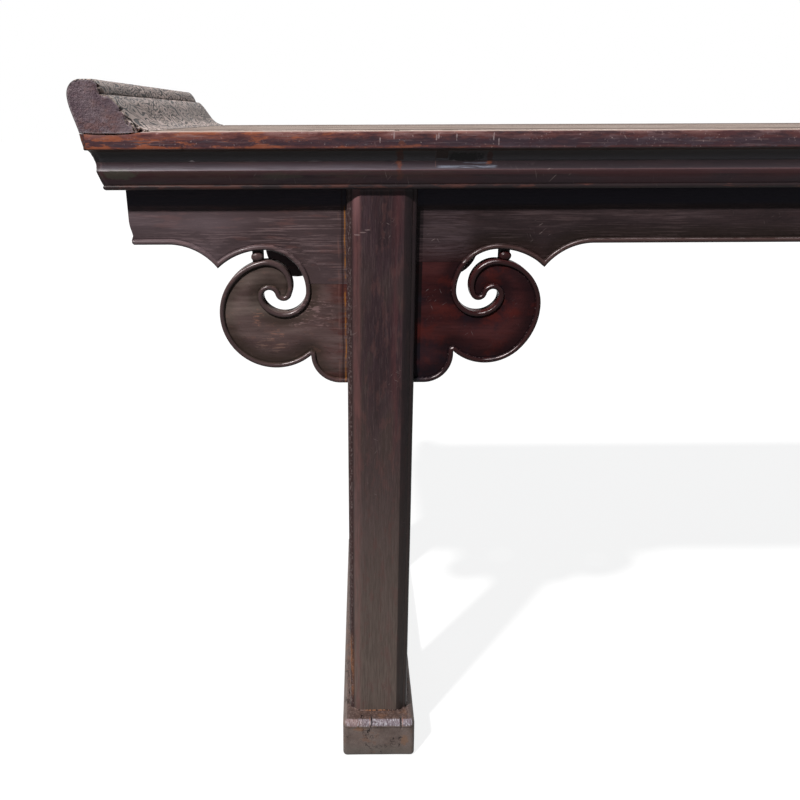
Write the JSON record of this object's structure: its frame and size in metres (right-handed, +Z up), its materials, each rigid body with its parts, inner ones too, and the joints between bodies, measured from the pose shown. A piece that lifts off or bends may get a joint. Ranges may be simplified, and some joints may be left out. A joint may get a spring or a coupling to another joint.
{
  "type": "chinese altar table",
  "caption": "Long Chinese altar table with everted end flanges, moulded top edge, pierced cloud-scroll spandrels and bridled legs on sled-foot base rails.",
  "frame": {"origin": "floor level, under the middle of the top", "axes": "+X along the table's length, -Y towards the front, +Z up"},
  "size_m": [2.4006, 0.562, 0.955],
  "materials": {
    "flange_wood": "weathered lacquered hardwood",
    "board_wood": "worn lacquered hardwood",
    "edge_wood": "dark lacquer worn to red wood",
    "leg_wood": "dark lacquered hardwood",
    "foot_wood": "worn lacquered hardwood",
    "carved_wood": "polished dark lacquered hardwood",
    "hidden_wood": "dark stained hardwood"
  },
  "bodies": {
    "root": {"brace_1": "hidden_wood", "brace_2": "hidden_wood", "brace_3": "hidden_wood", "brace_4": "hidden_wood", "brace_5": "hidden_wood", "front_apron": "carved_wood", "front_stile": "edge_wood", "front_top_board": "board_wood", "left_base_rail": "foot_wood", "left_end_apron": "carved_wood", "left_end_rail": "flange_wood", "left_front_inner_link_bead": "carved_wood", "left_front_inner_spandrel": "carved_wood", "left_front_leg": "leg_wood", "left_front_outer_link_bead": "carved_wood", "left_front_outer_spandrel": "carved_wood", "left_rear_inner_link_bead": "carved_wood", "left_rear_inner_spandrel": "carved_wood", "left_rear_leg": "leg_wood", "left_rear_outer_link_bead": "carved_wood", "left_rear_outer_spandrel": "carved_wood", "left_ring_bottom": "hidden_wood", "left_ring_front": "hidden_wood", "left_ring_rear": "hidden_wood", "left_ring_top": "hidden_wood", "left_side_stretcher": "hidden_wood", "rear_apron": "carved_wood", "rear_stile": "edge_wood", "rear_top_board": "board_wood", "right_base_rail": "foot_wood", "right_end_apron": "carved_wood", "right_end_rail": "flange_wood", "right_front_inner_link_bead": "carved_wood", "right_front_inner_spandrel": "carved_wood", "right_front_leg": "leg_wood", "right_front_outer_link_bead": "carved_wood", "right_front_outer_spandrel": "carved_wood", "right_rear_inner_link_bead": "carved_wood", "right_rear_inner_spandrel": "carved_wood", "right_rear_leg": "leg_wood", "right_rear_outer_link_bead": "carved_wood", "right_rear_outer_spandrel": "carved_wood", "right_ring_bottom": "hidden_wood", "right_ring_front": "hidden_wood", "right_ring_rear": "hidden_wood", "right_ring_top": "hidden_wood", "right_side_stretcher": "hidden_wood"}
  },
  "joints": []
}
